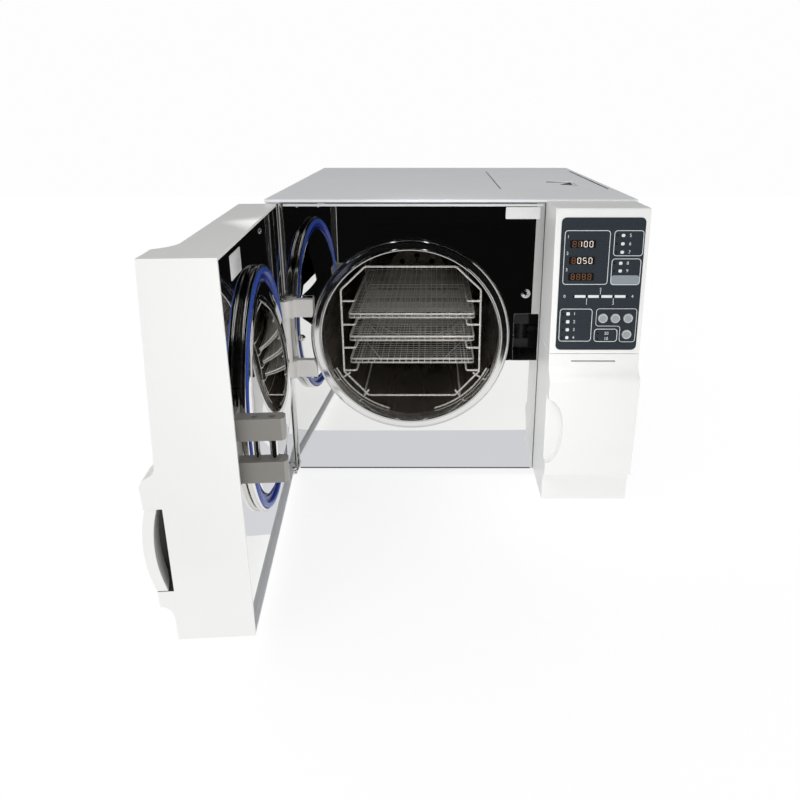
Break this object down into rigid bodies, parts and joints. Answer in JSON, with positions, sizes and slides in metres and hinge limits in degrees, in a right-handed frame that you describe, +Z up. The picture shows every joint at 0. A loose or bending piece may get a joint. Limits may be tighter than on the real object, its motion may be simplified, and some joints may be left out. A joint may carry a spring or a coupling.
{
  "type": "dental_autoclave",
  "caption": "Benchtop dental autoclave with a round chamber, a side-hinged door standing open, wire trays, a latch column with controls and a lidded water tank",
  "frame": {"origin": "On the standing plane, under the middle of the whole outline with the door open", "axes": "+Z up, the front faces -Y, +X to the right seen from the front"},
  "size_m": [0.5486, 0.9204, 0.41],
  "materials": {
    "white_enamel": "smooth stoved enamel",
    "grey_enamel": "fine textured enamel",
    "white_plastic": "fine moulded grain",
    "mirror_steel": "mirror polished stainless sheet",
    "polished_steel": "turned and polished stainless",
    "satin_steel": "satin stainless",
    "wire_steel": "electropolished wire",
    "yoke_grey": "satin powder coat",
    "bracket_grey": "satin powder coat",
    "black_plastic": "moulded",
    "gasket_blue": "silicone",
    "fascia_slate": "printed membrane film",
    "window_dark": "smoked window",
    "lamp_clear": "clear lens",
    "button_steel": "satin cap",
    "foot_rubber": "moulded rubber",
    "zinc_steel": "zinc plated sheet",
    "lagging": "glass-fibre lagging",
    "board_green": "circuit board",
    "brass_fitting": "turned",
    "copper_pipe": "drawn tube",
    "tank_plastic": "milky plastic",
    "lid_grey": "fine moulded grain"
  },
  "bodies": {
    "cabinet": {"base_pan": "zinc_steel", "feet": "foot_rubber", "top_cover": "grey_enamel", "side_panel_left": "white_enamel", "side_panel_right": "white_enamel", "rear_panel": "white_enamel", "front_bulkhead": "zinc_steel", "mirror_front_panel": "mirror_steel", "control_head": "white_plastic", "column_lower_cover": "white_plastic", "control_fascia": "fascia_slate", "display_windows": "window_dark", "indicator_lenses": "lamp_clear", "control_board": "board_green", "printer_module": "black_plastic", "chamber_vessel": "satin_steel", "chamber_ring": "polished_steel", "band_heater": "zinc_steel", "chamber_insulation": "lagging", "inner_supports": "zinc_steel", "steam_baffle": "satin_steel", "latch_frame": "black_plastic", "latch_motor": "zinc_steel", "hinge_bracket": "bracket_grey", "hinge_pins": "polished_steel", "water_tank": "tank_plastic", "vacuum_pump": "zinc_steel", "steam_generator": "satin_steel", "solenoid_valves": "brass_fitting", "main_board": "board_green", "condenser": "satin_steel", "fan_frame": "black_plastic", "safety_valve": "brass_fitting", "power_inlet": "black_plastic", "switch_frame": "black_plastic", "drain_ports": "brass_fitting", "pipes": "copper_pipe", "case_screws": "polished_steel"},
    "door": {"door_shell": "white_plastic", "door_inner_panel": "mirror_steel", "pressure_disc": "mirror_steel", "door_gasket": "gasket_blue", "door_beam": "zinc_steel", "disc_stud": "zinc_steel", "striker_yoke": "yoke_grey", "striker_pins": "polished_steel", "hinge_knuckle": "bracket_grey", "handle_grip": "white_plastic"},
    "latch_hook": {"latch_hook": "polished_steel"},
    "tank_lid": {"tank_lid": "lid_grey"},
    "tray_rack": {"tray_rack": "wire_steel"},
    "tray_upper": {"tray_upper": "wire_steel"},
    "tray_middle": {"tray_middle": "wire_steel"},
    "tray_lower": {"tray_lower": "wire_steel"},
    "button_1": {"button_1": "button_steel"},
    "button_2": {"button_2": "button_steel"},
    "button_3": {"button_3": "button_steel"},
    "button_4": {"button_4": "button_steel"},
    "fan_rotor": {"fan_rotor": "black_plastic"},
    "switch_rocker": {"switch_rocker": "black_plastic"}
  },
  "joints": [
    {"name": "door_hinge", "type": "hinge", "parent": "cabinet", "child": "door", "pos_m": [-0.2, -0.104, 0.219], "axis": [0, 0, -1], "range_deg": [-85.7, 12.3]},
    {"name": "latch_turn", "type": "hinge", "parent": "cabinet", "child": "latch_hook", "pos_m": [0.132, -0.049, 0.219], "axis": [0, 0, 1], "range_deg": [-65, 0]},
    {"name": "tank_lid_hinge", "type": "hinge", "parent": "cabinet", "child": "tank_lid", "pos_m": [0.18475, 0.3555, 0.4072], "axis": [-1, 0, 0], "range_deg": [0, 80]},
    {"name": "rack_slide", "type": "slide", "parent": "cabinet", "child": "tray_rack", "axis": [0, -1, 0], "range_m": [0, 0.25]},
    {"name": "tray_upper_slide", "type": "slide", "parent": "tray_rack", "child": "tray_upper", "axis": [0, -1, 0], "range_m": [0, 0.2]},
    {"name": "tray_middle_slide", "type": "slide", "parent": "tray_rack", "child": "tray_middle", "axis": [0, -1, 0], "range_m": [0, 0.2]},
    {"name": "tray_lower_slide", "type": "slide", "parent": "tray_rack", "child": "tray_lower", "axis": [0, -1, 0], "range_m": [0, 0.2]},
    {"name": "button_1_press", "type": "slide", "parent": "cabinet", "child": "button_1", "axis": [0, 0.9988, -0.0483], "range_m": [0, 0.0015], "stiffness_N_per_m": 400},
    {"name": "button_2_press", "type": "slide", "parent": "cabinet", "child": "button_2", "axis": [0, 0.9988, -0.0483], "range_m": [0, 0.0015], "stiffness_N_per_m": 400},
    {"name": "button_3_press", "type": "slide", "parent": "cabinet", "child": "button_3", "axis": [0, 0.9988, -0.0483], "range_m": [0, 0.0015], "stiffness_N_per_m": 400},
    {"name": "button_4_press", "type": "slide", "parent": "cabinet", "child": "button_4", "axis": [0, 0.9988, -0.0483], "range_m": [0, 0.0015], "stiffness_N_per_m": 400},
    {"name": "fan_spin", "type": "hinge", "parent": "cabinet", "child": "fan_rotor", "pos_m": [-0.121, 0.426, 0.3], "axis": [0, 1, 0], "continuous": true},
    {"name": "mains_switch", "type": "hinge", "parent": "cabinet", "child": "switch_rocker", "pos_m": [0.154, 0.435, 0.07], "axis": [-1, 0, 0], "range_deg": [0, 16]}
  ]
}
